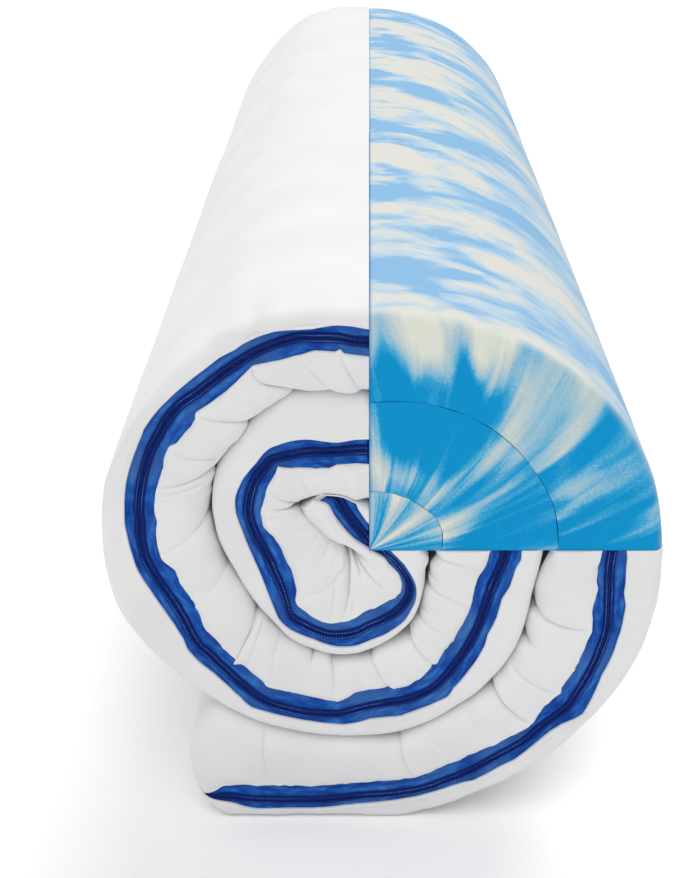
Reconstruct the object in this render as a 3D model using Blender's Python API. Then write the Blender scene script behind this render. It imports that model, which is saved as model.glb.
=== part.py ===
"""A foam mattress topper in a white cover with a blue zip, rolled up and lying on its loose end.

Seen from its zip end (-Y) the topper winds in from the loose end on the floor, round the right
side, over the top and twice round, and its inner end is folded tightly back at the middle.
Over the upper right quarter, along the roll's whole length, the cover is cut away and the bare
foam shows. Metres, +Z up, the roll's axis along Y, the origin under the middle of the roll.
"""

from math import cos, hypot, radians, sin

import bmesh
import bpy
import numpy as np

MM = 0.001

# Driving dimensions.
ROLL_LENGTH = 1.372  # the topper's width across the bed, 54 inches
CUT_X, CUT_Z = -0.0101, 0.2865  # the cutaway's corner: an upright and a level plane meet here
CLEAR = 0.3 * MM  # between pieces that touch
FLOOR = -CUT_Z  # the floor's height, from the cutaway's corner

# The turns of the covered topper, as rungs laid across it from its outer to its inner face.
# Each table's columns: outer x, outer z, inner x, inner z (mm from the cutaway's corner), and
# the zip's middle as a share of the way from the inner to the outer face. The first or the last
# rung of a turn that meets the cutaway lies past it, and the cutaway takes that stretch off.
OUTER_TURN = (
    (-161, -286.5, -158, -161, 0.78),
    (-126, -286.5, -128, -165, 0.78),
    (-97, -286.5, -99, -179.8, 0.78),
    (-66, -286.5, -68, -189.5, 0.77),
    (-15, -286.5, -18, -193.7, 0.75),
    (38, -286.5, 27.5, -186.6, 0.67),
    (82, -270, 65, -168.3, 0.71),
    (126, -246, 96, -142, 0.678),
    (171.5, -210.5, 115.3, -117.5, 0.682),
    (206.5, -164, 128.2, -91.8, 0.694),
    (231.8, -111.6, 135.2, -65.8, 0.656),
    (243.3, -56.3, 140, -34, 0.582),
    (243.2, 0, 143.2, 0, 0.569),
    (240.5, 40, 145, 35, 0.569),
)
MIDDLE_TURN = (
    (40, 209, 34, 140, 0.60),
    (0, 211.5, 0, 142.5, 0.60),
    (-60, 210, -52, 145, 0.62),
    (-104, 196, -80, 132, 0.63),
    (-146, 163, -101, 109, 0.68),
    (-181, 121, -118, 86, 0.72),
    (-207, 77, -126, 60, 0.69),
    (-219, 20, -128, 26, 0.66),
    (-219, -22, -119, -12, 0.62),
    (-209, -66, -106, -36, 0.60),
    (-186, -105, -92, -62, 0.62),
    (-150, -142, -77, -85, 0.66),
    (-112, -172, -61.5, -96, 0.71),
    (-66, -188.5, -44, -102.5, 0.73),
    (-18, -192.5, -18, -105, 0.70),
    (30, -184.5, 14, -95, 0.68),
    (72, -162, 33, -81, 0.70),
    (104, -131, 43, -62, 0.66),
    (125, -97, 47.5, -40, 0.64),
    (137, -48, 48.8, -20, 0.64),
    (142, 0, 52, 0, 0.67),
    (144, 35, 55, 30, 0.67),
)
INNER_TURN = (
    (34, 139, 30, 44, 0.47),
    (0, 141.3, 0, 47, 0.46),
    (-30, 144.4, -16, 52, 0.43),
    (-62, 140.8, -35, 57, 0.43),
    (-86, 125, -50, 51.5, 0.47),
    (-107.3, 99.7, -58, 46, 0.51),
    (-122.3, 72.5, -60, 42.5, 0.56),
    (-126.8, 44.5, -57.5, 38.5, 0.60),
    (-124.3, 11.5, -51, 33, 0.62),
    (-110.2, -26, -43.5, 26.5, 0.66),
    (-90.6, -61.5, -35, 16.5, 0.74),
    (-66, -91, -28, 9, 0.81),
    (-25, -103.5, -21, 4, 0.84),
    (11.5, -94, -15, 0.5, 0.79),
    (37, -71, -10, -2.5, 0.81),
    (46, -38.5, -7.5, -3.2, 0.81),
    (47, -22, -7, -2.6, 0.62),
    (48.7, -8, -8, -0.8, 0.32),
    (33, 21.5, -15.5, 5.2, 0.28),
    (4, 40, -30, 15, 0.47),
    (-11, 46, -41, 26, 0.63),
    (-22, 51.5, -48.5, 34, 0.79),
    (-36, 53, -54, 39.5, 0.85),
)
PARTING = 17.5  # between which rungs the folded end's zip passes the cutaway's corner

# The deep creases that gather the border on the inner side of the zip. Columns: distance along
# the zip from the turn's first rung, how much further along the crease's inner end lies, and
# its depth (mm).
OUTER_CREASES = (
    (66, 0, 2),
    (204, -10, 7),
    (246, -24, 8),
    (290, -30, 6),
    (328, -20, 10),
    (370, -6, 6),
    (448, 4, 9),
    (488, -14, 5),
)
MIDDLE_CREASES = (
    (60, -18, 8),
    (92, -12, 6),
    (132, -16, 9),
    (200, -34, 9),
    (244, -14, 5),
    (286, -24, 8),
    (350, -26, 9),
    (414, -34, 8),
    (484, -36, 10),
    (532, -32, 5),
    (592, -8, 6),
    (644, -16, 8),
    (694, -12, 8),
    (730, -16, 6),
    (756, -18, 8),
    (778, -16, 6),
    (818, 6, 7),
)
INNER_CREASES = (
    (56, -2, 4),
    (90, -4, 8),
    (134, 0, 8),
    (160, -8, 7),
    (262, 20, 6),
    (302, -4, 7),
    (318, 2, 10),
    (352, -4, 5),
    (382, -12, 7),
)

# The bare foam's layers in the cutaway quarter. Columns: the angle up from the level cut
# (degrees), and the outer, the middle and the inner layer's outer faces (mm from the corner).
FOAM_FACES = (
    (0, 242.5, 155, 59),
    (15, 238.5, 154.5, 62),
    (30, 232, 150.5, 62),
    (45, 224.5, 148, 59),
    (60, 217, 144, 57.5),
    (75, 211, 139, 56),
    (90, 208.5, 133.5, 55),
)
FOAM_SET_BACK = 4 * MM  # the foam's ends, behind the cover's border
FOAM_STEP = 3  # degrees

# The cover's border.
STATION = 14 * MM  # the longest step between sections along the topper
EDGE = 15 * MM  # how far back the border's rounded edges reach
RIM_SHARE = 0.75  # the rounded part of the border outside the zip
ROOT_SHARE = 0.42  # the rounded part of the border inside the zip
BACK_SHARE = 0.3  # of the plain border at the back, rounded at each of its edges
GATHER_SHARE = 0.72  # where the gathered part begins, out from the inner face to the zip's seat
DRAWN_BESIDE_ZIP = 0.25  # how much of a crease's depth shows beside the zip
LIP_DEPTH = 0.8 * MM  # the rolled lip beside the zip's seat
LIP_SHARE = 0.2  # its width, as a share of the border on its side
SEAT_HALF = 13.2 * MM  # the zip's sunk seat, to each side of its middle
SEAT_SHARE = 0.8  # the most that it takes of the border on either side
SEAT_DEPTH = 3.6 * MM
CREASE_WIDTH = 7 * MM
END_REACH = 36 * MM  # the rounding of the loose end, seen along the roll
END_TUCK = 46 * MM
END_POWER = 1.8  # how full that rounding is: 2 would be a quarter of an ellipse
END_CORNER = 0.3  # how much of it shows in plan
END_STEPS = (0, 3, 8, 14, 21, 28)  # the sections through it (mm)

# The zip. Columns of each strip: its two edges, across from the zip's middle.
TAPE = (2.4 * MM, 12.6 * MM)
COIL = (-2.1 * MM, 2.1 * MM)
TAPE_THICK = 1.1 * MM
COIL_THICK = 1.7 * MM
ZIP_TAPER = 60 * MM  # where the zip narrows as it runs out
ZIP_POINT = 0.3  # its width there, as a share
ZIP_START = 4 * MM  # where it starts on the loose end
ZIP_STOP = 4 * MM  # how far before the folded end it stops
ZIP_DROP = 24 * MM  # how far it nears the outer face as it runs out at the loose end

CUTAWAY_SIZE = 0.5

QUARTER = radians(90)
SMOOTH_ANGLE = radians(40)


def material(name, colour, roughness):
    """A plain finish with a linear colour."""
    finish = bpy.data.materials.new(name)
    finish.use_nodes = True
    shader = finish.node_tree.nodes["Principled BSDF"]
    shader.inputs["Base Color"].default_value = (*colour, 1)
    shader.inputs["Roughness"].default_value = roughness
    shader.inputs["Metallic"].default_value = 0
    return finish


def skinned(name, rings, finish):
    """One closed body over rings of points, with its two end rings filled."""
    count = len(rings[0])
    last = (len(rings) - 1) * count
    faces = [tuple(range(count)), tuple(range(last, last + count))]
    for ring in range(len(rings) - 1):
        for point in range(count):
            after = (point + 1) % count
            here, there = ring * count, (ring + 1) * count
            faces.append((here + point, here + after, there + after, there + point))
    mesh = bpy.data.meshes.new(name)
    mesh.from_pydata([point for ring in rings for point in ring], [], faces)
    body = bmesh.new()
    body.from_mesh(mesh)
    bmesh.ops.recalc_face_normals(body, faces=body.faces)
    body.to_mesh(mesh)
    body.free()
    mesh.shade_smooth()
    mesh.set_sharp_from_angle(angle=SMOOTH_ANGLE)
    mesh.materials.append(finish)
    piece = bpy.data.objects.new(name, mesh)
    bpy.context.scene.collection.objects.link(piece)
    return piece


class Turn:
    """The smooth run of one turn's rungs, measured along its zip."""

    STEPS = 24  # between two rungs

    def __init__(self, rows, creases, loose_end=False):
        rungs = np.array(rows, float) * (MM, MM, MM, MM, 1)
        knots = self.distances(rungs)
        slopes = np.gradient(rungs, knots, axis=0)
        share = np.linspace(0, 1, self.STEPS, endpoint=False)[:, None]
        starts, ends = 2 * share**3 - 3 * share**2 + 1, 3 * share**2 - 2 * share**3
        leaves, meets = share**3 - 2 * share**2 + share, share**3 - share**2
        runs = []
        for index, gap in enumerate(np.diff(knots)):
            held = starts * rungs[index] + ends * rungs[index + 1]
            runs.append(held + gap * (leaves * slopes[index] + meets * slopes[index + 1]))
        self.rungs = np.vstack(runs + [rungs[-1:]])
        self.along = self.distances(self.rungs)
        self.length = self.along[-1]
        self.knots = knots
        self.creases = np.array(creases, float) * MM
        self.loose_end = loose_end

    @staticmethod
    def distances(rungs):
        """How far along the zip each rung lies."""
        zip_line = rungs[:, 2:4] + (rungs[:, 0:2] - rungs[:, 2:4]) * rungs[:, 4:5]
        steps = np.linalg.norm(np.diff(zip_line, axis=0), axis=1)
        return np.append(0, np.cumsum(steps))

    def rung(self, distance):
        """The rung there: outer x and z, inner x and z, the zip's share."""
        return [np.interp(distance, self.along, column) for column in self.rungs.T]

    def thickness(self, distance):
        outer_x, outer_z, inner_x, inner_z, _ = self.rung(distance)
        return hypot(outer_x - inner_x, outer_z - inner_z)

    def zip_middle(self, distance):
        """How far across the zip's middle lies, from the inner face."""
        drop = ZIP_DROP * max(0, 1 - distance / END_REACH) if self.loose_end else 0
        return self.rung(distance)[4] * self.thickness(distance) + drop

    def seat(self, distance):
        """Half the width of the zip's seat, which narrows where the border does."""
        middle = self.zip_middle(distance)
        return min(SEAT_HALF, SEAT_SHARE * min(middle, self.thickness(distance) - middle))

    def tuck(self, distance):
        """How far the loose end's rounding draws the section in."""
        if not self.loose_end or distance > END_REACH:
            return 0
        share = min(1, 1 - distance / END_REACH)
        return END_TUCK * (1 - (1 - share**END_POWER) ** (1 / END_POWER))

    def place(self, distance, across, depth, end=-1):
        """A point `across` from the inner face and `depth` in from the roll's front or back end."""
        outer_x, outer_z, inner_x, inner_z, _ = self.rung(distance)
        tuck = self.tuck(distance)
        share = across / self.thickness(distance)
        share += tuck / self.thickness(distance) * (1 - 2 * share)
        x = inner_x + (outer_x - inner_x) * share
        z = inner_z + (outer_z - inner_z) * share
        y = end * (ROLL_LENGTH / 2 - depth - END_CORNER * tuck)
        return (CUT_X + x, y, CUT_Z + max(z, FLOOR))

    def stations(self):
        """Where the sections lie: round the loose end, in each crease, and evenly between."""
        places = [step * MM for step in END_STEPS] if self.loose_end else []
        stops = [END_REACH if self.loose_end else 0, *self.creases[:, 0], self.length]
        for start, stop in zip(stops, stops[1:]):
            steps = max(2, round((stop - start) / STATION))
            places += list(np.linspace(start, stop, steps, endpoint=False))
        return places + [self.length]

    def pucker(self, distance):
        """How deep the border is drawn in there."""
        nearest = np.abs(self.creases[:, 0] - distance)
        return float(np.max(self.creases[:, 2] * np.exp(-nearest / CREASE_WIDTH)))

    def lean(self, distance):
        """How far along the inner end of the border's section lies from its zip."""
        places = [0, *self.creases[:, 0], self.length]
        return float(np.interp(distance, places, [0, *self.creases[:, 1], 0]))


def rounded(width, steps):
    """The rounded edge of a border: distance in from the face and depth, from face to border."""
    angles = [QUARTER * step / steps for step in range(steps + 1)]
    return [(width * (1 - cos(angle)), EDGE * (1 - sin(angle))) for angle in angles]


def zip_border(turn, distance):
    """The front border's section, from the outer to the inner face: lean, across, depth."""
    thickness, middle = turn.thickness(distance), turn.zip_middle(distance)
    outer_lip, inner_lip = middle + turn.seat(distance), middle - turn.seat(distance)
    outer_band, inner_band = thickness - outer_lip, inner_lip
    rim = rounded(RIM_SHARE * outer_band, 4)
    root = rounded(ROOT_SHARE * inner_band, 4)
    section = [(0, thickness - inward, depth) for inward, depth in rim]
    section += [(0, outer_lip + LIP_SHARE * outer_band, LIP_DEPTH), (0, outer_lip, SEAT_DEPTH)]
    section += [(0, inner_lip, SEAT_DEPTH), (0, inner_lip - LIP_SHARE * inner_band, LIP_DEPTH)]
    gathered = [(GATHER_SHARE * inner_lip, 0)] + root[::-1]
    for across, depth in gathered:
        inward = 1 - across / inner_lip
        drawn = turn.pucker(distance) * (DRAWN_BESIDE_ZIP + (1 - DRAWN_BESIDE_ZIP) * inward)
        section.append((turn.lean(distance) * inward, across, depth + drawn))
    return section


def plain_border(turn, distance):
    """The back border's section, from the inner to the outer face: across, depth."""
    thickness = turn.thickness(distance)
    edge = rounded(BACK_SHARE * thickness, 3)
    return edge + [(thickness - inward, depth) for inward, depth in edge[::-1]]


def cover(name, turn, finish):
    """One turn of the filled cover, with its gathered zip border in front."""
    rings = []
    for distance in turn.stations():
        ring = []
        for lean, across, depth in zip_border(turn, distance):
            ring.append(turn.place(distance + lean, across, depth))
        for across, depth in plain_border(turn, distance):
            ring.append(turn.place(distance, across, depth, end=1))
        rings.append(ring)
    return skinned(name, rings, finish)


def zip_strip(name, turn, edges, thick, finish, start=0, stop=None, taper=None):
    """A strip of the zip in its seat, between two distances; it narrows towards `taper`."""
    stop = turn.length if stop is None else stop
    inside = [place for place in turn.stations() if start < place < stop]
    floor = SEAT_DEPTH - CLEAR
    rings = []
    for distance in [start, *inside, stop]:
        width = turn.seat(distance) / SEAT_HALF
        if taper is not None:
            width *= min(1, ZIP_POINT + (1 - ZIP_POINT) * abs(distance - taper) / ZIP_TAPER)
        low, high = (turn.zip_middle(distance) + edge * width for edge in edges)
        corners = ((low, floor), (high, floor), (high, floor - thick), (low, floor - thick))
        rings.append([turn.place(distance, across, depth) for across, depth in corners])
    return skinned(name, rings, finish)


def foam_layer(name, outer_column, inner_column, finish):
    """One layer of the bare foam in the cutaway quarter, between two of its faces."""
    table = np.array(FOAM_FACES, float)
    angles = range(0, 91, FOAM_STEP)

    def face(column, inset):
        reach = [np.interp(angle, table[:, 0], table[:, column]) * MM - inset for angle in angles]
        return [(r * cos(radians(a)), r * sin(radians(a))) for r, a in zip(reach, angles)]

    outline = face(outer_column, CLEAR)
    outline += face(inner_column, 0)[::-1] if inner_column else [(0, 0)]
    reach = ROLL_LENGTH / 2 - FOAM_SET_BACK
    left, bottom = CUT_X + CLEAR, CUT_Z + CLEAR
    rings = [[(left + x, y, bottom + z) for x, z in outline] for y in (-reach, reach)]
    return skinned(name, rings, finish)


def cutaway():
    """The quarter that is cut from the cover: a guide box, not part of the object."""
    middle = (CUT_X + CUTAWAY_SIZE / 2, 0, CUT_Z + CUTAWAY_SIZE / 2)
    mesh = bpy.data.meshes.new("cutaway")
    block = bmesh.new()
    bmesh.ops.create_cube(block, size=1)
    bmesh.ops.scale(block, vec=(CUTAWAY_SIZE, 2 * ROLL_LENGTH, CUTAWAY_SIZE), verts=block.verts)
    bmesh.ops.translate(block, vec=middle, verts=block.verts)
    block.to_mesh(mesh)
    block.free()
    box = bpy.data.objects.new("cutaway", mesh)
    bpy.context.scene.collection.objects.link(box)
    box.hide_render = True
    box.display_type = "WIRE"
    return box


def cut(piece, box):
    """Take the cutaway quarter off a piece."""
    trim = piece.modifiers.new("cutaway", "BOOLEAN")
    trim.operation = "DIFFERENCE"
    trim.object = box


def main():
    for item in list(bpy.data.objects):
        bpy.data.objects.remove(item)

    knit = material("white knitted cover", (0.86, 0.86, 0.88), 0.9)
    tape = material("blue zip tape", (0.015, 0.09, 0.30), 0.8)
    coil = material("navy zip coil", (0.004, 0.02, 0.10), 0.5)
    foam = material("blue and cream foam", (0.10, 0.42, 0.58), 0.95)

    turns = {
        "outer_turn": Turn(OUTER_TURN, OUTER_CREASES, loose_end=True),
        "middle_turn": Turn(MIDDLE_TURN, MIDDLE_CREASES),
        "inner_turn": Turn(INNER_TURN, INNER_CREASES),
    }
    rim_side, core_side = TAPE, (-TAPE[1], -TAPE[0])
    pieces = []

    def strips(label, turn, sides, **where):
        for side, edges, thick, finish in sides:
            pieces.append(zip_strip(f"{label}_zip_{side}", turn, edges, thick, finish, **where))

    rim = ("rim_tape", rim_side, TAPE_THICK, tape)
    core = ("core_tape", core_side, TAPE_THICK, tape)
    teeth = ("coil", COIL, COIL_THICK, coil)

    for label, turn in turns.items():
        pieces.append(cover(f"{label}_cover", turn, knit))

    strips("outer_turn", turns["outer_turn"], (rim, core, teeth), start=ZIP_START, taper=0)
    strips("middle_turn", turns["middle_turn"], (rim, core, teeth))

    # The folded inner end passes the cutaway's corner, which parts its rim tape and its coil.
    inner = turns["inner_turn"]
    parting = np.interp(PARTING, range(len(inner.knots)), inner.knots)
    end = inner.length - ZIP_STOP
    strips("inner_turn", inner, (core,), stop=end, taper=inner.length)
    strips("inner_turn", inner, (rim, teeth), stop=parting)
    strips("inner_end", inner, (rim, teeth), start=parting, stop=end, taper=inner.length)

    box = cutaway()
    for piece in pieces:
        cut(piece, box)

    foam_layer("outer_foam", 1, 2, foam)
    foam_layer("middle_foam", 2, 3, foam)
    foam_layer("inner_foam", 3, None, foam)


main()
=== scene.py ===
"""The looks of a rolled foam mattress topper: white knitted cover, blue zip, bare marbled foam.

The roll lies on its loose end with its axis along Y and its zip border towards the camera (-Y).
Over the upper right quarter the cover is cut away, and three layers of foam show there. Every
piece is worked out from the rungs below, which lie across the topper from its outer to its
inner face. Metres, +Z up.
"""

from math import pi, radians

import bmesh
import bpy
import numpy as np
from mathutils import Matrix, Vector


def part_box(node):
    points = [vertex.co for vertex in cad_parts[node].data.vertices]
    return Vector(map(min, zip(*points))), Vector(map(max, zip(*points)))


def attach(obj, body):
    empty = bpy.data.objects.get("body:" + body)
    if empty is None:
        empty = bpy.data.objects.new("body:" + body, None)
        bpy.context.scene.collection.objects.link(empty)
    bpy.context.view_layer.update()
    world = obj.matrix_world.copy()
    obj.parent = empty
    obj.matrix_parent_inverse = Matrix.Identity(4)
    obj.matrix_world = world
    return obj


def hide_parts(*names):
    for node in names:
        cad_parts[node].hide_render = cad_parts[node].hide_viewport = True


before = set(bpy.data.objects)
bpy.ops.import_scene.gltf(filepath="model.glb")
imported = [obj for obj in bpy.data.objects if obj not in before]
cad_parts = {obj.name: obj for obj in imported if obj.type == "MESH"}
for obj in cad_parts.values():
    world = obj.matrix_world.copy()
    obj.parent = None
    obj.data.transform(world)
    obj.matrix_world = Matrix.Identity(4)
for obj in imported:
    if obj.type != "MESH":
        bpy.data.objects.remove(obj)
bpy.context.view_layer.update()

MM = 0.001
CLEAR = 0.3 * MM  # between the foam and the cover that it meets

# The cutaway's corner and the roll's length, from the frame.
CUT_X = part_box("outer_foam")[0].x - CLEAR
CUT_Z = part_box("outer_foam")[0].z - CLEAR
ROLL_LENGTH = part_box("outer_turn_cover")[1].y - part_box("outer_turn_cover")[0].y
FRONT = -ROLL_LENGTH / 2

# The turns of the covered topper, as rungs laid across it. Columns: outer x, outer z, inner x,
# inner z (mm from the cutaway's corner), and the zip's middle as a share of the way from the
# inner to the outer face.
OUTER_TURN = (
    (-161, -286.5, -158, -161, 0.78),
    (-126, -286.5, -128, -165, 0.78),
    (-97, -286.5, -99, -179.8, 0.78),
    (-66, -286.5, -68, -190.5, 0.768),
    (-15, -286.5, -18, -196.7, 0.742),
    (38, -286.5, 28.5, -192, 0.651),
    (82, -270, 66.5, -171.8, 0.699),
    (126, -246, 98, -145, 0.667),
    (171.5, -210.5, 117.3, -119.3, 0.674),
    (206.5, -164, 129.2, -92.6, 0.691),
    (231.8, -111.6, 135.2, -65.8, 0.656),
    (243.3, -56.3, 140, -34, 0.582),
    (243.2, 0, 150, 0, 0.538),
    (240.5, 40, 151, 35, 0.538),
)
MIDDLE_TURN = (
    (40, 209, 34, 140, 0.60),
    (0, 211.5, 0, 142.5, 0.60),
    (-60, 210, -52, 145, 0.62),
    (-104, 196, -80, 132, 0.63),
    (-146, 163, -101, 109, 0.68),
    (-181, 121, -118, 86, 0.72),
    (-207, 77, -126, 60, 0.69),
    (-219, 20, -128, 26, 0.66),
    (-219, -22, -119, -12, 0.62),
    (-209, -66, -106, -36, 0.60),
    (-186, -105, -92, -62, 0.62),
    (-150, -142, -77, -85, 0.66),
    (-112, -172, -61.5, -96, 0.71),
    (-66.3, -189.5, -44, -102.5, 0.722),
    (-18, -195.5, -18, -108.5, 0.664),
    (31, -190, 14.3, -97, 0.633),
    (73.6, -165.3, 33, -81, 0.672),
    (106.4, -133.7, 43, -62, 0.635),
    (126.3, -98, 47.5, -40, 0.63),
    (137, -48, 48.8, -20, 0.64),
    (144.5, 0, 54.5, 0, 0.642),
    (146.5, 35, 57, 30, 0.642),
)
INNER_TURN = (
    (34, 139, 30, 44, 0.47),
    (0, 141.3, 0, 47, 0.46),
    (-30, 144.4, -16, 52, 0.43),
    (-62, 140.8, -35, 57, 0.43),
    (-86, 125, -50, 51.5, 0.47),
    (-107.3, 99.7, -58, 46, 0.51),
    (-122.3, 72.5, -60, 42.5, 0.56),
    (-126.8, 44.5, -57.5, 38.5, 0.60),
    (-124.3, 11.5, -51, 33, 0.62),
    (-110.2, -26, -43.5, 26.5, 0.66),
    (-90.6, -61.5, -35, 16.5, 0.74),
    (-66, -91, -28, 9, 0.81),
    (-25, -107.5, -21, 4, 0.81),
    (12.2, -96, -15, 0.5, 0.773),
    (37, -71, -10, -2.5, 0.81),
    (46, -38.5, -7.5, -3.2, 0.81),
    (47, -22, -7, -2.6, 0.62),
    (48.7, -8, -8, -0.8, 0.32),
    (33, 21.5, -15.5, 5.2, 0.28),
    (4, 40, -30, 15, 0.47),
    (-11, 46, -41, 26, 0.63),
    (-22, 51.5, -48.5, 34, 0.79),
    (-36, 53, -54, 39.5, 0.85),
)
OUTER_STRETCH = (0, 12)  # the rungs between which each turn is covered
MIDDLE_STRETCH = (1, 20)
INNER_STRETCH = (1, 22)
PARTING = 17.5  # between which rungs the folded end's zip passes the cutaway's corner
TURNED_IN = 21.5  # and where it turns in under the gathered border

# The edges of the cover along the zip. Columns: distance along the zip from the turn's first
# rung, how far the inner and the outer edge lie from the rungs' zip line, and how far the zip
# itself strays from that line towards the outer face (mm).
OUTER_LIPS = (
    (0, 1.5, 1.5, 0), (12, 1.5, 1.5, 0.5), (18, 5.5, 3.5, 1), (26, 9.5, 6, 2), (36, 10.5, 9, 3.5),
    (48, 12, 12.5, 4), (58, 12.5, 13.5, 4), (72, 13.5, 12, 3.5), (90, 14, 11.5, 3),
    (108, 14, 11, 2.5), (126, 15, 9.5, 1.5), (138, 16, 8, 0.5), (150, 16, 7.5, 0),
    (162, 15.5, 8, 0.5), (180, 14, 9, 2.5), (192, 12, 9.5, 3.5), (204, 11.5, 10, 4),
    (218, 12.5, 8.5, 3), (230, 16.5, 7.5, 0.5), (236, 17.5, 7, 0), (248, 16.5, 8, 0),
    (258, 17.5, 11, 0.5), (270, 15, 12, 1), (288, 11, 12.5, 2), (300, 10.5, 14, 3),
    (312, 8.5, 12, 3), (324, 7.5, 10, 1.5), (332, 8, 9, 0.5), (340, 12, 8.5, 0),
    (352, 14, 10.5, 1.5), (364, 13, 15.5, 3), (372, 11, 17.5, 2.5), (378, 15, 16, 1),
    (396, 14, 12, 0), (410, 14, 9.5, -0.5), (432, 14, 10.5, -0.5), (446, 11, 11, 0.5),
    (456, 11.5, 12.5, 1), (468, 12.5, 13.5, 1), (480, 11, 14.5, 0.5), (492, 8.5, 11.5, 0),
    (500, 11, 12, -1), (514, 10.5, 11, -1.5), (524, 9, 11, -1), (531, 8, 10, -0.5),
)
MIDDLE_LIPS = (
    (38, 10.5, 10.5, 0), (50, 10, 12, 0), (57, 9.5, 12, 1), (60, 6.5, 12, 1.5), (64, 9, 11.5, 1.5),
    (80, 8.5, 8, 1), (90, 11, 8, 2), (108, 12, 10.5, 1), (120, 10.5, 10.5, 0), (132, 8.5, 9.5, -1),
    (140, 11, 8, -2), (152, 13.5, 9, -2.5), (164, 14.5, 8.5, -2.5), (184, 13.5, 9, -2),
    (198, 11.5, 9.5, 0), (203, 15, 9.5, 0.5), (212, 16.5, 10, 0.5), (234, 15.5, 10.5, -1),
    (240, 11.5, 9.5, -1), (252, 12, 9, -1), (262, 14.5, 9, -1.5), (280, 13.5, 9.5, -1.5),
    (306, 12.5, 9.5, -1), (318, 14.5, 10, -1.5), (330, 12, 9.5, 0), (352, 10.5, 10, 1.5),
    (358, 13, 10.5, 1), (366, 18, 10, 0), (384, 17, 7.5, -2.5), (402, 19, 6, -4),
    (420, 17, 5, -3.5), (436, 13.5, 6, -1), (448, 15.5, 9.5, 0), (462, 14.5, 9.5, -1.5),
    (478, 15, 7.5, -1.5), (481, 10.5, 7.5, -1.5), (485, 15.5, 7.5, -1.5), (496, 16.5, 7.5, -1),
    (510, 16.5, 9, -1), (522, 13.5, 12, 0.5), (534, 15, 10, 1.5), (552, 17.5, 8.5, 1),
    (572, 16, 9, 1.5), (588, 13, 11, 2), (594, 11, 12, 2.5), (600, 13, 13, 1.5), (610, 20, 12, -1),
    (622, 20.5, 10, -2.5), (638, 18.5, 12, -2), (644, 19.5, 13.5, -1), (648, 14, 14.5, 0),
    (662, 13, 13.5, 1), (680, 16, 13, 0), (690, 18.5, 14, -1), (694, 20.5, 12.5, -2),
    (698, 18, 10.5, -2.5), (714, 20.5, 9.5, -4), (732, 18.5, 8.5, -4.5), (746, 19.5, 7.5, -5),
    (756, 18, 5, -5), (774, 16.5, 6.5, -5), (792, 16.5, 6.5, -4), (804, 16.5, 10, -3),
    (822, 13, 10.5, -1), (829, 12.5, 13, 0), (836, 12, 12, 0),
)
INNER_LIPS = (
    (32, 10, 11, 1.5), (42, 10, 10, 1), (54, 11.5, 7, -1), (60, 12.5, 6.5, -2), (68, 17, 7, -3.5),
    (80, 17.5, 9, -3), (90, 14, 10.5, -2), (100, 10.5, 11.5, 0), (106, 6.5, 12.5, 2),
    (110, 2.5, 12, 3.5), (113, 5.5, 11.5, 3.5), (120, 7.5, 9.5, 2), (130, 9.5, 8.5, 0.5),
    (142, 12.5, 8, -1.5), (152, 12, 9, -1.5), (166, 9.5, 8, -0.5), (180, 9.5, 6.5, -1),
    (192, 13.5, 6.5, -2), (206, 17, 7, -3.5), (222, 18, 7, -4.5), (238, 21, 8.5, -5),
    (250, 20, 11, -4), (261, 18, 13, -1), (266, 11, 12.5, 1.5), (270, 10, 12, 2.5), (284, 12, 9, 0),
    (296, 11, 7.5, -0.5), (306, 11, 8.5, 0), (318, 14, 10, -1), (332, 14, 12, -0.5),
    (342, 16.5, 11.5, -1.5), (354, 15, 12, -1), (372, 14, 9, -1.5), (384, 10.5, 6, -1.5),
    (390, 9, 5.5, -1.5), (400, 10.5, 3.5, -3), (408, 12, 2, -6), (414, 14.5, 1.5, -7.5),
    (420, 14.5, 2, -7.5), (426, 12, 3, -6.5), (432, 8.5, 5, -4.5), (438, 5.5, 7.5, -2),
    (444, 4, 10, 0), (452, 4, 10, 1), (468, 7, 9.5, 0), (480, 8, 9, 0), (492, 8, 10, 0.5),
    (504, 7, 14, 1), (512, 7, 18, 1), (521, 7, 20, 1),
)

# The creases that gather the border on the inner side of the zip. Columns: distance along the
# zip, how much further along the crease's inner end and its middle lie, where it starts and
# ends (0 at the cover's edge, 1 at the inner face), its depth, and how wide its soft side is,
# below 0 where that side lies towards the turn's first rung (mm).
OUTER_CREASES = (
    (72, 0, -4, 0.0, 1.0, 2.6, 14),
    (128, -22, 0, 0.3, 0.7, 0.8, 14),
    (160, -26, 0, 0.1, 0.6, 0.9, 12),
    (204, -10, -3, 0.0, 1.2, 4.5, -12),
    (246, -24, -2, 0.0, 0.8, 3, 14),
    (290, -30, 0, 0.1, 0.9, 2.5, 12),
    (328, -25, -1, 0.0, 1.2, 6.5, -11),
    (370, -24, -3, 0.0, 0.9, 4, 13),
    (402, -12, 0, 0.8, 1.4, 5, 14),
    (448, -5, -6, 0.0, 1.2, 6, 16),
    (488, -24, 3, 0.0, 0.25, 2.2, -11),
    (529, 0, 0, 0.8, 1.5, 1.5, -24),
)
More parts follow.
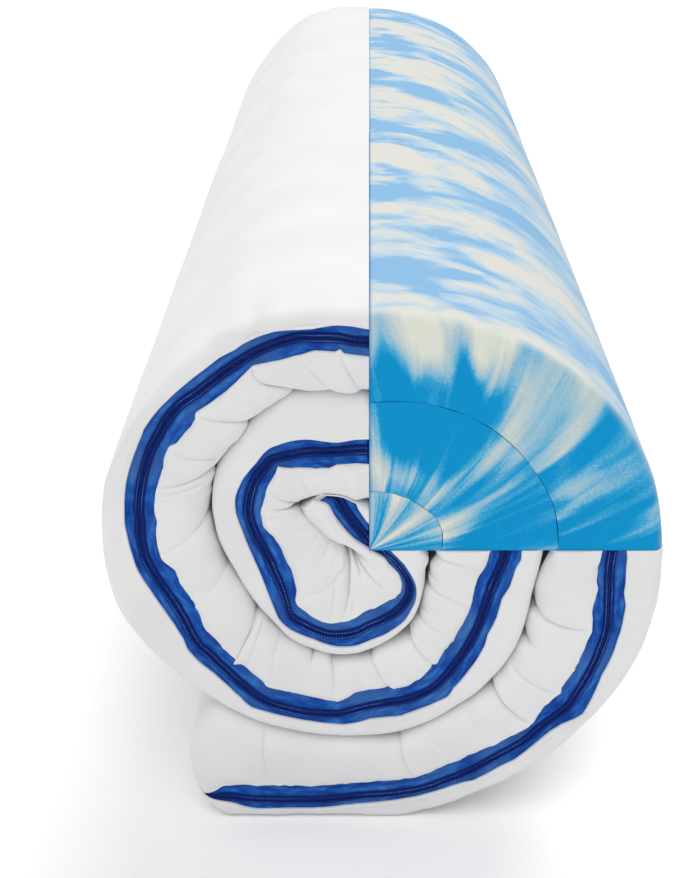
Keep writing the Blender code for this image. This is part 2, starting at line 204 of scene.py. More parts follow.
MIDDLE_CREASES = (
    (60, -18, 4, 0.0, 1.2, 3.5, -10),
    (92, -26, 5, 0.25, 1.2, 2.6, 12),
    (132, -32, 14, 0.0, 1.2, 5, -8),
    (166, -26, 0, 0.5, 1.0, 1.2, 12),
    (200, -34, 5, 0.0, 1.2, 4.5, -14),
    (244, -14, 5, 0.0, 0.9, 3, -12),
    (282, -34, 8, 0.0, 1.2, 4, -9),
    (291, -30, 6, 0.0, 0.8, 2.4, -9),
    (318, -40, 0, 0.6, 1.1, 1.2, -8),
    (350, -34, 4, 0.0, 1.2, 3.4, -12),
    (414, -42, 0, 0.35, 1.2, 2, -14),
    (480, -40, 3, 0.0, 1.2, 5, -10),
    (491, -42, 4, 0.0, 0.9, 1.8, 9),
    (532, -48, 0, 0.1, 1.0, 1.1, 12),
    (560, -4, 0, 0.75, 1.5, 4, -9),
    (592, -8, 0, 0.2, 1.2, 4, 14),
    (620, -14, 0, 0.0, 0.45, 1.6, -9),
    (644, -16, -2, 0.0, 1.2, 5, -12),
    (694, -12, 0, 0.0, 1.2, 5.5, -10),
    (730, -16, 4, 0.1, 1.2, 2.6, 12),
    (754, -26, 4, 0.15, 1.0, 2.2, 14),
    (772, -8, 3, 0.0, 1.2, 3.4, 14),
    (796, -12, 0, 0.7, 1.2, 2.6, 10),
    (816, 12, 0, 0.0, 1.1, 2.8, -12),
    (833, 0, 0, 0.8, 1.5, 1.5, -16),
)
INNER_CREASES = (
    (56, -2, 0, 0.0, 0.8, 2, 9),
    (90, 6, 3, 0.0, 0.8, 3, 10),
    (134, 0, 4, 0.0, 0.9, 2.6, -10),
    (160, -8, 2, 0.0, 1.2, 3.4, -8),
    (170, 0, 0, 0.0, 0.4, 1.6, -7),
    (232, 0, 0, 0.5, 1.2, 1, 10),
    (308, -3, 0, 0.0, 0.45, 2.8, 6),
    (319, 21, 0, 0.05, 1.2, 5, -8),
    (328, 15, 0, 0.0, 0.28, 2.6, 6),
    (354, 0, 0, 0.6, 1.2, 3, 6),
    (382, -22, 0, 0.2, 1.2, 3, 8),
)
# One more crease of the inner turn, which runs across the others round the fold's pivot.
PIVOT_CREASE = (262, 86, -6, 0.05, 0.95, 3, -8)

# Soft dents over the border's outer edge. Columns: distance along the zip, half-width, depth,
# and how far back along the roll they reach (mm).
OUTER_DENTS = (
    (96, 12, 0.8, 30),
    (208, 10, 0.8, 30),
    (330, 130, 2, 2000),
    (360, 9, 0.7, 24),
    (470, 12, 0.6, 30),
)
MIDDLE_DENTS = (
    (84, 12, 2.6, 46),
    (104, 9, -2.2, 34),
    (122, 7, 2.4, 50),
    (156, 9, 2, 50),
    (262, 10, 1.4, 30),
    (278, 6, 0.9, 30),
    (336, 14, 0.8, 44),
    (420, 16, 0.9, 44),
    (560, 14, 0.7, 34),
    (690, 12, 0.7, 30),
)
INNER_DENTS = ((110, 12, 1, 30), (262, 9, 0.9, 20))

# The bare foam's layers. Columns: the angle up from the level cut (degrees), and the outer, the
# middle and the inner layer's outer faces (mm from the corner).
FOAM_FACES = (
    (0, 241.5, 155, 59),
    (15, 238, 154.5, 62),
    (30, 232, 150.5, 62),
    (45, 224.5, 148, 59),
    (60, 217, 144, 57.5),
    (75, 211, 139, 56),
    (90, 208.5, 133.5, 55),
)

CREASE_UNITS = (MM, MM, MM, 1, 1, MM, MM)
CREASE_FULL = 1.15  # how much deeper the creases are than in their tables
CREASE_RISE = (0.45, 0.55, 0.2)  # its depth: at the zip, more at the inner face, more at its root
CREASE_ROOT = 0.7  # from where on it widens, as a share of the way to the inner face
CREASE_BEGINS, CREASE_ENDS = (0.12, 0.24), (0.1, 0.25)  # how much sooner, and over what share
SHARP_SIDE = 2.1 * MM  # how wide a crease is on its sharp side
SHARP_LINE = 0.2  # how much of that shows in its soft side too
OVERLAP, OVERLAP_FADE = 0.9 * MM, 5 * MM  # how far the sharp side laps over the crease
OVERLAP_FULL = 4 * MM  # how deep a crease is that laps fully
CREASE_STEPS = (-7, -4.5, -3, -2, -1.3, -0.8, -0.4, 0, 0.4, 0.8, 1.3, 2, 3, 4.5, 7)  # mm

# The cover's section.
STATION, STATION_LEAST = 2.4 * MM, 0.25 * MM  # between sections along the topper
EDGE = 15 * MM  # how far back the border's rounded edges reach
RIM_SHARE, ROOT_SHARE = 0.75, 0.38  # of the border outside and inside the zip, rounded at most
CUT_ROOT_SHARE, CUT_ROOT_REACH = 0.1, 22 * MM  # inside the zip at the cutaway, and how far back
INNER_FACE_ROWS = (22, 34, 60, 120, 300, 700, 1200)  # mm behind the front
OUTER_FACE_POWER = 1.8  # how much closer together the outer face's rows lie near the front
RIM_TIGHT = 9 * MM  # how far the outer edge is rounded where it hangs, at the sides and below
BACK_SHARE = 0.3  # of the back border, rounded at each edge
NOSE = 1.5 * MM  # the rolled edge beside the zip
LIP_SLACK, LIP_HIDDEN = 0.7 * MM, 0.6  # both edges lie this much further back than in their tables
ZIP_ASIDE = 0.6 * MM  # the whole zip lies this much further along X than in its tables
SEAT_DEPTH = 4.6 * MM  # the sunk seat that the zip lies in
LEAST_BAND = 0.04  # of the topper's thickness, left beside the zip on either side
CUT_REACH = 25 * MM  # how near the cutaway the cover is held to it
END_REACH, END_OVER = 36 * MM, 1 * MM  # the rounding of the loose end, and how far it swells
END_POWER = 1.8  # how full that rounding is
END_CORNER = 0.3  # how much of its rounding shows in plan
END_CLOSED = 0.47  # how far each face has come in at its tip, as a share of the thickness
ZIP_DROP, ZIP_DROP_POWER = 34 * MM, 1.6  # how far, and how late, the zip nears the outer face

# How the filled cloth swells: the gathered border, the gap between two turns, the back border.
PUFF, PUFF_SPAN = 3.6 * MM, (0.06, 0.9)  # which stretch of a bulge lies across the border
DROOP, DROOP_FULL = 5.5 * MM, 0.9  # over the turn below it; full where the turn is that upright
PLAIN_LIP = 0.12  # the share beside the zip's edge that hardly swells
EDGE_SHARE = 0.16  # the share over which the edge's own wrinkles die away
BORDER_REACH = 200 * MM  # how far back along the roll the border's swelling is worked out
LEAN_FADE, SWELL_FADE = 80 * MM, 50 * MM  # how far back its creases' lean and its swell go
HOLLOW, HOLLOW_FROM, HOLLOW_RISE = 26 * MM, 8 * MM, 16 * MM  # behind the front, by the cutaway
RIM_FROM, RIM_RISE = 0.05, 0.35  # the share outside the zip where the rim begins to swell
WAVES_FROM = 120 * MM  # behind the front, where the outer face's waves are full
BACK_PUFF = 3 * MM
BACK_CREASE, BACK_CREASE_SIDE = 0.7, 4 * MM  # as a share of the front's, and its width
BACK_SHIFT, BACK_LEAN = 17 * MM, 12 * MM  # where it lies along the topper, from the front's
SEAM_DEEP, SEAM_WIDE = 1.6 * MM, 1.8 * MM
SIDE_HELD, LAP_HELD = 9 * MM, 4 * MM  # how far from the cutaway cloth swells and laps fully
BORDER_HELD, BORDER_KEPT = 14 * MM, 0.4  # and the border, which keeps that share right at it

# How uneven it is. Columns: how deep, how long along the zip, how long the other way (a share
# of the border, or mm behind the front), and its seed.
WRINKLES = (0.7 * MM, 15 * MM, 0.9, 3)
FINE_WRINKLES = (0.15 * MM, 6 * MM, 0.6, 4)
LUMPS, LUMPS_FROM = (1.6 * MM, 38 * MM, 0.7, 5), 4.9
EDGE_WRINKLES = (0.55 * MM, 5 * MM, 0.5, 6)
RIM_RIPPLES = (0.5 * MM, 26 * MM, 60 * MM, 11)
RIM_PUCKERS = (0.3 * MM, 9 * MM, 25 * MM, 12)
SIDE_WAVES = (1.3 * MM, 110 * MM, 260 * MM, 13)
BACK_WRINKLES = (0.9 * MM, 18 * MM, 1 / 3, 21)
TAPE_RIPPLES = (0.5 * MM, 17 * MM, 1 / 3, 31)
TAPE_PUCKERS = (0.25 * MM, 6 * MM, 1 / 2, 32)
FOAM_UNEVEN = (0.35 * MM, 1 / 9, 70 * MM, 41)  # along it in radians

# The zip's section, from its middle (mm across, mm above the seat).
CHANNEL = 0.15 * MM  # half the gap between the two tapes, under the coil
RIDGE = (0.9 * MM, 3.7 * MM)  # the tape folded over the coil
RIDGE_HIGH, RIDGE_FOOT = 3.0 * MM, 0.6 * MM
TAPE_HIGH, TAPE_DIP = 1.5 * MM, 0.4 * MM  # lower beside the ridge
TAPE_FOOT = 0.15 * MM
TAPE_FROM, TAPE_LEAST = 0.8 * MM, 1.2 * MM  # outside the ridge: where it is flat, its least width
TAPE_TUCK = 0.5 * MM  # how far the tape goes under the cover's edge
TAPE_INSIDE = 0.5 * MM  # how far it stays inside the turn's two faces
ZIP_STATION = 2 * MM
ZIP_START, ZIP_TAPER = 11 * MM, 18 * MM  # where it starts on the loose end, and widens from there
ZIP_POINT = 0.2  # its width and its depth at its start, as a share
STITCH_PITCH = 2.5 * MM
STITCH, STITCH_SUNK = (1.7 * MM, 0.55 * MM, 0.3 * MM), 0.05 * MM  # length, width, height
TOOTH_PITCH = 1.5 * MM
TOOTH = (0.95 * MM, 2.2 * MM, 1.2 * MM)
TOOTH_ASIDE, TOOTH_HIGH = 0.3 * MM, 1.1 * MM  # to either side by turns, and above the seat
BEAD_FULL = 0.6  # a power: how much fuller a stitch or a tooth is than a ball

FLOOR_GAP = 0.2 * MM

# The finishes' scales.
KNIT_PITCH = 1.7 * MM  # real wales are about 0.8 mm: drawn coarser, to show at a step away
RIB_PITCH = 1.1 * MM  # real ribs are about 0.5 mm: drawn coarser too
GRAIN = 1.6 * MM  # the speckle where gel meets foam
CELL = 1.3 * MM  # the foam's open cells
BAND_PITCH, BAND_START = 241 * MM, 205 * MM  # of the marbling's bands along the roll
SWIRL = 1.8  # how far the streaks bend on their way out, in radians a metre
CREAM = 0.26  # how much creamier the outer layer's upper rim is than the rest of the foam
CREAM_BACK = 60 * MM  # how far back along the roll
CREAM_ANGLE, CREAM_ROUND = radians(72), radians(26)  # where it is creamiest, and how far round
CREAM_RIM = (150 * MM, 45 * MM)  # the radius from which it pales, and how soon
CREAM_RING = (76 * MM, 18 * MM, 0.75)  # a paler ring inside it: radius, width, share
CREAM_CORE = (100 * MM, 45 * MM, 0.35)  # the pale core: its radius, its soft edge, its share
CREAM_LESS = 0.25  # how much bluer the rest is up there

# The camera, from the photograph's vanishing lines.
SENSOR, LENS, SHIFT = 36, 55.35, (-0.033, -0.0009)
CAMERA_BACK, CAMERA_HIGH, CAMERA_PITCH = 0.945, 0.869, radians(26.87)
FLOOR_SIZE = 16
# The light: where each soft light comes from, how many degrees wide it is, and its strength.
KEY, KEY_SPREAD, KEY_LIGHT = (-0.15, -0.42, 0.85), 50, 1.25
BACK, BACK_SPREAD, BACK_LIGHT = (0.27, 0.48, 0.83), 40, 1.5
ROOM_LIGHT = 0.52

ROLL_RADIUS = 225 * MM  # on average
QUARTER = 0.5  # how large the guide box for the cutaway is: more than the roll's radius
FOAM_SET_BACK = 0.6 * MM  # the foam's front, behind the border's plane
FOAM_ROUND = 9 * MM  # the outer layer's softened edge
FOAM_JOINT = 0.4 * MM  # the softened edges where two layers meet


# --- materials ------------------------------------------------------------------------------


def add(tree, kind, inputs=(), ramp=(), **settings):
    """Add a node with its settings; an input is a value or the socket that it is linked to."""
    item = tree.nodes.new("ShaderNode" + kind)
    for name, value in settings.items():
        setattr(item, name, value)
    for socket, value in dict(inputs).items():
        if isinstance(value, bpy.types.NodeSocket):
            tree.links.new(value, item.inputs[socket])
        else:
            item.inputs[socket].default_value = value
    for index, (place, colour) in enumerate(ramp):
        stops = item.color_ramp.elements
        stop = stops[index] if index < 2 else stops.new(place)
        stop.position = place
        stop.color = colour
    return item.outputs


def linear(hex_colour):
    """An sRGB hex colour as linear red, green, blue and alpha."""
    parts = [int(hex_colour[i : i + 2], 16) / 255 for i in (1, 3, 5)]
    return (*[c / 12.92 if c <= 0.04045 else ((c + 0.055) / 1.055) ** 2.4 for c in parts], 1)


def material(name, **settings):
    """A new material and its nodes, with the shader's plain settings."""
    finish = bpy.data.materials.new(name)
    finish.use_nodes = True
    shader = finish.node_tree.nodes["Principled BSDF"]
    for socket, value in settings.items():
        shader.inputs[socket.replace("_", " ")].default_value = value
    return finish, finish.node_tree


def coated(finish, **sockets):
    """The material, once its shader's sockets are linked to the last of its nodes."""
    tree = finish.node_tree
    for socket, source in sockets.items():
        tree.links.new(source, tree.nodes["Principled BSDF"].inputs[socket.replace("_", " ")])
    return finish


def knitted_jersey():
    """Knitted polyester jersey, lightly brushed: matt white with soft wales and a faint bloom."""
    finish, tree = material("knitted polyester jersey", Roughness=0.9, Sheen_Weight=0.2, IOR=1.5)
    weave = add(tree, "Attribute", attribute_name="cloth")["Vector"]
    pitch = (1 / KNIT_PITCH,) * 3
    wale = add(tree, "VectorMath", {0: weave, 1: pitch}, operation="MULTIPLY")[0]
    apart = add(tree, "SeparateXYZ", {0: wale})
    turns = [add(tree, "Math", {0: apart[i], 1: 2 * pi}, operation="MULTIPLY")[0] for i in (0, 1)]
    waves = [add(tree, "Math", {0: turn}, operation="SINE")[0] for turn in turns]
    loops = add(tree, "Math", {0: waves[0], 1: waves[1]}, operation="MULTIPLY")[0]
    fluff = add(tree, "TexNoise", {"Vector": wale, "Scale": 0.7, "Detail": 3.0})["Fac"]
    height = add(tree, "Math", {0: loops, 1: 0.35, 2: fluff}, operation="MULTIPLY_ADD")[0]
    bump = add(tree, "Bump", {"Height": height, "Strength": 0.25, "Distance": 0.2 * MM})["Normal"]
    place = add(tree, "TexCoord")["Object"]
    patchy = {"Vector": place, "Scale": 1 / (90 * MM), "Detail": 2.0}
    whites = ((0.35, linear("#DCDCDD")), (0.65, linear("#E1E1E1")))
    colour = add(tree, "ValToRGB", {0: add(tree, "TexNoise", patchy)["Fac"]}, whites)["Color"]
    return coated(finish, Base_Color=colour, Normal=bump)


def woven_tape():
    """Woven polyester zip tape: mid blue with fine ribs, navy where it folds over the coil."""
    finish, tree = material("woven polyester zip tape", Roughness=0.85, Specular_IOR_Level=0.2)
    weave = add(tree, "Attribute", attribute_name="cloth")["Vector"]
    apart = add(tree, "SeparateXYZ", {0: weave})
    pitch = 2 * pi / RIB_PITCH
    rib = add(tree, "Math", {0: apart[0], 1: pitch}, operation="MULTIPLY")[0]
    slant = add(tree, "Math", {0: apart[1], 1: pitch, 2: rib}, operation="MULTIPLY_ADD")[0]
    ribs = add(tree, "Math", {0: slant}, operation="SINE")[0]
    bump = add(tree, "Bump", {"Height": ribs, "Strength": 0.35, "Distance": 0.15 * MM})["Normal"]

    # Its tones change about every 17 mm along it and 5 mm across, and it pales in random patches.
    scaled = add(tree, "VectorMath", {0: weave, 1: (60, 200, 0)}, operation="MULTIPLY")[0]
    tones = add(tree, "TexNoise", {"Vector": scaled, "Scale": 1.0, "Detail": 3.0})["Fac"]
    blues = ((0.3, linear("#08378A")), (0.5, linear("#0F4DA6")), (0.7, linear("#2F73C4")))
    tape = add(tree, "ValToRGB", {0: tones}, blues)["Color"]
    place = add(tree, "TexCoord")["Object"]
    pale_patches = add(tree, "TexNoise", {"Vector": place, "Scale": 1 / (60 * MM), "Detail": 1.0})["Fac"]
    pale_patches = {"Value": pale_patches, "From Min": 0.48, "From Max": 0.7, "To Max": 0.5}
    pale_patches = add(tree, "MapRange", pale_patches)[0]
    tape = add(tree, "Mix", {0: pale_patches, 6: tape, 7: linear("#4C7BB6")}, data_type="RGBA")[2]
    spread = {"Value": apart[1], "From Min": 3.4 * MM, "From Max": 5.6 * MM}
    spread = add(tree, "MapRange", spread)[0]
    colour = add(tree, "Mix", {0: spread, 6: linear("#05236E"), 7: tape}, data_type="RGBA")[2]
    return coated(finish, Base_Color=colour, Normal=bump)


def sewing_thread():
    """Spun polyester thread: a lighter blue with a slight lustre, navy in random stretches."""
    finish, tree = material("spun polyester thread", Roughness=0.6, IOR=1.45)
    place = add(tree, "TexCoord")["Object"]
    twist = add(tree, "TexNoise", {"Vector": place, "Scale": 1 / (4 * MM), "Detail": 1.0})["Fac"]
    blues = ((0.3, linear("#2A66BC")), (0.7, linear("#76A6E2")))
    thread = add(tree, "ValToRGB", {0: twist}, blues)["Color"]
    # Partly painted highlight: the light blue stretches show the thread and also stand in for the
    # highlights along the zip's ridges; between them it is navy like the tape.
    shown_thread_and_painted_highlight = add(tree, "TexNoise", {"Vector": place, "Scale": 1 / (45 * MM), "Detail": 1.0})["Fac"]
    shown_thread_and_painted_highlight = add(tree, "MapRange", {"Value": shown_thread_and_painted_highlight, "From Min": 0.44, "From Max": 0.58})[0]
    colour = add(tree, "Mix", {0: shown_thread_and_painted_highlight, 6: linear("#05236E"), 7: thread}, data_type="RGBA")[2]
    return coated(finish, Base_Color=colour)


def moulded_nylon():
    """Moulded nylon coil: navy and smooth, so that each tooth has its own small highlight."""
    finish, tree = material("moulded nylon", Roughness=0.45, IOR=1.53, Specular_IOR_Level=0.2)
    place = add(tree, "TexCoord")["Object"]
    wear = add(tree, "TexNoise", {"Vector": place, "Scale": 1 / (6 * MM), "Detail": 2.0})["Fac"]
    navies = ((0.3, linear("#082A7C")), (0.7, linear("#1140A2")))
    return coated(finish, Base_Color=add(tree, "ValToRGB", {0: wear}, navies)["Color"])


def marbled_foam():
    """Gel-swirled memory foam: blue gel streaked through cream foam, with fine open cells.

    The cut ends show the streaks of each layer, spreading from the roll's middle. The outer
    face shows long soft bands round the roll, paler because of the foam's skin.
    """
    finish, tree = material("gel-swirled memory foam", Roughness=0.95, Specular_IOR_Level=0.2)
    place = add(tree, "TexCoord")["Object"]
    ray = add(tree, "Attribute", attribute_name="ray")["Vector"]
    skin = add(tree, "Attribute", attribute_name="skin")["Vector"]
    cream = add(tree, "Attribute", attribute_name="cream")["Fac"]
    skin_parts = add(tree, "SeparateXYZ", {0: skin})

    # Five kinds of streaks. Columns: what they are laid out by, how many times they change in a
    # radian or in a metre each way, their detail, and how far they bend.
    kinds = (
        (ray, (3.6, 8.0, 7.3), 1.0, 0.7),
        (ray, (13.0, 8.0, 5.1), 2.0, 0.5),
        (skin, (5.0, 5.0, 0.0), 1.0, 0.0),
        (skin, (9.0, 17.0, 0.0), 1.0, 0.5),
        (skin, (26.0, 52.0, 0.0), 1.5, 0.8),
    )
    streaks = []
    for laid, stretch, detail, warp in kinds:
        scaled = add(tree, "VectorMath", {0: laid, 1: stretch}, operation="MULTIPLY")[0]
        values = {"Vector": scaled, "Scale": 1.0, "Detail": detail, "Distortion": warp}
        streaks.append(add(tree, "TexNoise", values)["Fac"])
    broad, fine, wander, ellipses, fibres = streaks

    # The cut end: broad and fine streaks, quick round the middle and slow outwards from it.
    mixed = add(tree, "Mix", {0: 0.36, 2: broad, 3: fine})[0]
    mixed = add(tree, "Math", {0: mixed, 1: cream}, operation="ADD")[0]
    grain = add(tree, "TexNoise", {"Vector": place, "Scale": 1 / GRAIN, "Detail": 2.0})["Fac"]
    mixed = add(tree, "Math", {0: grain, 1: 0.1, 2: mixed}, operation="MULTIPLY_ADD")[0]
    cut_colours = (
        (0.50, linear("#008EC8")),
        (0.56, linear("#37A0CF")),
        (0.62, linear("#88BAD2")),
        (0.70, linear("#B9C9CC")),
        (0.80, linear("#D9DDCF")),
    )
    cut_end = add(tree, "ValToRGB", {0: mixed}, cut_colours)["Color"]

    # The outer face: bands that wander, with long ellipses and finer streaks through them.
    turn = 2 * pi / BAND_PITCH
    phase = {0: skin_parts[1], 1: turn, 2: -BAND_START * turn - 2}
    phase = add(tree, "Math", phase, operation="MULTIPLY_ADD")[0]
    phase = add(tree, "Math", {0: wander, 1: 4.0, 2: phase}, operation="MULTIPLY_ADD")[0]
    bands = add(tree, "Math", {0: phase}, operation="COSINE")[0]
    face = add(tree, "Mix", {0: 0.34, 2: ellipses, 3: fibres})[0]
    face = add(tree, "Math", {0: bands, 1: 0.085, 2: face}, operation="MULTIPLY_ADD")[0]
    face = add(tree, "Math", {0: cream, 1: 0.7, 2: face}, operation="MULTIPLY_ADD")[0]

    # They blur into a pale blue down the roll's side.
    side = {"Value": add(tree, "SeparateXYZ", {0: ray})[0], "To Min": 0.4}
    side |= {"From Min": radians(12), "From Max": radians(52)}
    face = add(tree, "Mix", {0: add(tree, "MapRange", side)[0], 2: 0.5, 3: face})[0]
    face_colours = (
        (0.42, linear("#82AFD2")),
        (0.50, linear("#AEC4D3")),
        (0.58, linear("#CECEC7")),
    )
    outer_face = add(tree, "ValToRGB", {0: face}, face_colours)["Color"]
    colour = add(tree, "Mix", {0: skin_parts[2], 6: cut_end, 7: outer_face}, data_type="RGBA")[2]

    # A deeper blue line where the foam meets the cutaway's two planes: partly the foam's own edge
    # colour, partly painted shade in the crevice where it meets the cover.
    corner = add(tree, "VectorMath", {0: place, 1: (CUT_X, 0, CUT_Z)}, operation="SUBTRACT")[0]
    apart = add(tree, "SeparateXYZ", {0: corner})
    nearest = add(tree, "Math", {0: apart[0], 1: apart[2]}, operation="MINIMUM")[0]
    line = {"Value": nearest, "From Min": 0.8 * MM, "From Max": 2.6 * MM}
    line = add(tree, "MapRange", line | {"To Min": 0.6, "To Max": 0.0})[0]
    colour = add(tree, "Mix", {0: line, 6: colour, 7: linear("#0A7CC0")}, data_type="RGBA")[2]
    cells = add(tree, "TexVoronoi", {"Vector": place, "Scale": 1 / CELL})["Distance"]
    bump = add(tree, "Bump", {"Height": cells, "Strength": 0.25, "Distance": 0.2 * MM})["Normal"]
    return coated(finish, Base_Color=colour, Normal=bump)


def studio_floor():
    """Matt painted studio floor: plain white, so that the roll's soft shadow is all it shows."""
    finish, tree = material("matt painted floor", Roughness=0.9, IOR=1.45)
    place = add(tree, "TexCoord")["Object"]
    patches = add(tree, "TexNoise", {"Vector": place, "Scale": 2.0, "Detail": 2.0})["Fac"]
    whites = ((0.3, linear("#F9F9F9")), (0.7, linear("#FBFBFB")))
    return coated(finish, Base_Color=add(tree, "ValToRGB", {0: patches}, whites)["Color"])


# --- shapes ---------------------------------------------------------------------------------


def uneven(kind, along, across):
    """How far one kind of unevenness lifts the surface: smooth noise, the same in every run."""
    deep, length, width, seed = kind
    size = 64
    table = np.random.default_rng(seed).uniform(-1, 1, (size, size))
    u, v = np.broadcast_arrays(along / length, across / width)
    cell_u, cell_v = np.floor(u).astype(int), np.floor(v).astype(int)
    part_u, part_v = step(u - cell_u), step(v - cell_v)
    low_u, high_u = cell_u % size, (cell_u + 1) % size
    low_v, high_v = cell_v % size, (cell_v + 1) % size
    low = table[low_u, low_v] * (1 - part_u) + table[high_u, low_v] * part_u
    high = table[low_u, high_v] * (1 - part_u) + table[high_u, high_v] * part_u
    return deep * (low * (1 - part_v) + high * part_v)


def step(value):
    """A smooth step from 0 to 1."""
    value = np.clip(value, 0, 1)
    return value * value * (3 - 2 * value)


def hump(value, middle, width):
    """A soft hump of height 1."""
    return np.exp(-(((value - middle) / width) ** 2))


def bulge(share):
    """How full a swell is across its width, which it spans from share 0 to 1."""
    return np.sin(pi * np.clip(share, 0, 1)) ** 0.8


class Turn:
    """The smooth run of one turn's rungs, measured along its zip."""

    STEPS = 24  # between two rungs

    def __init__(self, rows, stretch, lips, creases, dents, crossing=(), loose_end=False):
        rungs = np.array(rows, float) * (MM, MM, MM, MM, 1)
        knots = self.distances(rungs)
        slopes = np.gradient(rungs, knots, axis=0)
        share = np.linspace(0, 1, self.STEPS, endpoint=False)[:, None]
        starts, ends = 2 * share**3 - 3 * share**2 + 1, 3 * share**2 - 2 * share**3
        leaves, meets = share**3 - 2 * share**2 + share, share**3 - share**2
        runs = []
        for index, gap in enumerate(np.diff(knots)):
            held = starts * rungs[index] + ends * rungs[index + 1]
            runs.append(held + gap * (leaves * slopes[index] + meets * slopes[index + 1]))
        self.rungs = np.vstack(runs + [rungs[-1:]])
        self.along = self.distances(self.rungs)
        self.marks = self.along[:: self.STEPS]
        self.start, self.stop = self.marks[stretch[0]], self.marks[stretch[1]]
        self.lips = np.array(lips, float) * MM
        self.creases = np.array(creases, float) * CREASE_UNITS
        self.crossing = [np.array(row, float) * CREASE_UNITS for row in crossing]
        self.dents = np.array(dents, float) * MM
        self.loose_end = loose_end
        self.stops_at_cut = abs(self.rung(self.stop)[1]) < MM

    @staticmethod
    def distances(rungs):
        """How far along the zip each rung lies."""
        zip_line = rungs[:, 2:4] + (rungs[:, 0:2] - rungs[:, 2:4]) * rungs[:, 4:5]
        steps = np.linalg.norm(np.diff(zip_line, axis=0), axis=1)
        return np.append(0, np.cumsum(steps))

    def rung(self, distance):
        """The rungs there: outer x and z, inner x and z, the zip's share."""
        return [np.interp(distance, self.along, column) for column in self.rungs.T]

    def thickness(self, distance):
        """From the inner to the outer face."""
        outer_x, outer_z, inner_x, inner_z, _ = self.rung(distance)
        return np.hypot(outer_x - inner_x, outer_z - inner_z)

    def uprightness(self, distance):
        """From 1 where the outer face is on top to -1 where it is underneath."""
        _, outer_z, _, inner_z, _ = self.rung(distance)
        return (outer_z - inner_z) / self.thickness(distance)

    def zip_line(self, distance):
        """The rungs' zip line, which nears the outer face where the zip runs out."""
        outer_x, _, inner_x, _, share = self.rung(distance)
        thickness = self.thickness(distance)
        line = share * thickness + ZIP_ASIDE * (outer_x - inner_x) / thickness
        if self.loose_end:
            line += ZIP_DROP * np.clip(1 - distance / END_REACH, 0, 1) ** ZIP_DROP_POWER
        return line

    def zip_middle(self, distance):
        """The zip's own middle, which strays a little from the rungs' zip line."""
        return self.zip_line(distance) + np.interp(distance, self.lips[:, 0], self.lips[:, 3])

    def edges(self, distance):
        """The cover's inner and outer edge beside the zip, across from the inner face."""
        thickness, line = self.thickness(distance), self.zip_line(distance)
        slack = LIP_SLACK * self.slimming(distance)
        hidden = 1 + LIP_HIDDEN * (1 - self.uprightness(distance))
        inner = line - np.interp(distance, self.lips[:, 0], self.lips[:, 1]) - slack * hidden
        outer = line + np.interp(distance, self.lips[:, 0], self.lips[:, 2]) + slack
        least = LEAST_BAND * thickness
        return np.maximum(inner, least), np.minimum(outer, thickness - least)

    def place(self, distance, across, depth):
        """Points `across` from the inner face and `depth` behind the roll's front."""
        outer_x, outer_z, inner_x, inner_z, _ = self.rung(distance)
        thickness, tuck = self.thickness(distance), self.tuck(distance)
        share = across / thickness
        share = share + (1 - 2 * share) * tuck / thickness
        x = inner_x + (outer_x - inner_x) * share
        z = inner_z + (outer_z - inner_z) * share
        if self.loose_end:
            x = x + np.minimum(distance, 0)
            depth = depth + END_CORNER * tuck * (1 - 2 * depth / ROLL_LENGTH)
        x, y, z = np.broadcast_arrays(CUT_X + x, FRONT + depth, CUT_Z + z)
        return np.stack([x, y, z], axis=-1)

    def meet_cutaway(self, points, distance):
        """Bring the ends of the turn exactly to the cutaway's two planes."""
        planes = []
        if self.stops_at_cut:
            planes.append((distance > self.stop - CUT_REACH, -1, 2, CUT_Z))
        if not self.loose_end:
            planes.append((distance < self.start + CUT_REACH, 0, 0, CUT_X))
        for near, end, axis, plane in planes:
            points[near, :, axis] = np.minimum(points[near, :, axis], plane)
            points[end, :, axis] = plane

    def near_cut(self, distance):
        """From 1 where the turn ends at the level cut to 0 further back along it."""
        return np.exp(-(self.stop - distance) / CUT_ROOT_REACH) * self.stops_at_cut

    def seat(self, distance):
        """How deep the zip's seat is: less where the zip runs out at the loose end."""
        return SEAT_DEPTH * self.slimming(distance)

    def tuck(self, distance):
        """How far the loose end's rounding draws the section in."""
        if not self.loose_end:
            return 0
        share = np.clip((END_REACH - distance) / (END_REACH + END_OVER), 0, 1)
        closing = 1 - (1 - share**END_POWER) ** (1 / END_POWER)
        return END_CLOSED * self.thickness(distance) * closing

    def stations(self):
        """Where the sections lie: closer together beside each crease and at the loose end."""
        start = -END_OVER if self.loose_end else self.start
        near = (self.creases[:, :1] + np.array(CREASE_STEPS) * MM).ravel()
        if self.loose_end:
            near = np.append(near, start + END_REACH * np.linspace(0, 1, 25) ** 2)
        near = np.unique(near[(near > start) & (near < self.stop)])
        near = near[np.diff(near, prepend=start) > STATION_LEAST]
        stops = [start, *near, self.stop]
        places = []
        for here, there in zip(stops, stops[1:]):
            steps = max(1, round((there - here) / STATION))
            places += list(np.linspace(here, there, steps, endpoint=False))
        return np.array(places + [self.stop])

    def zip_stretch(self, first, last):
        """Where the zip runs: the whole turn, or from `first` or to `last`."""
        start = ZIP_START if self.loose_end else self.start
        return start if first is None else first, self.stop if last is None else last

    def zip_stations(self, first, last):
        """Where the sections of the zip's tapes lie."""
        start, stop = self.zip_stretch(first, last)
        return np.linspace(start, stop, round((stop - start) / ZIP_STATION) + 1)

    def slimming(self, distance):
        """How slim the zip is, as a share, where it runs out at the loose end."""
        if not self.loose_end:
            return np.ones_like(distance)
        return ZIP_POINT + (1 - ZIP_POINT) * np.clip((distance - ZIP_START) / ZIP_TAPER, 0, 1)

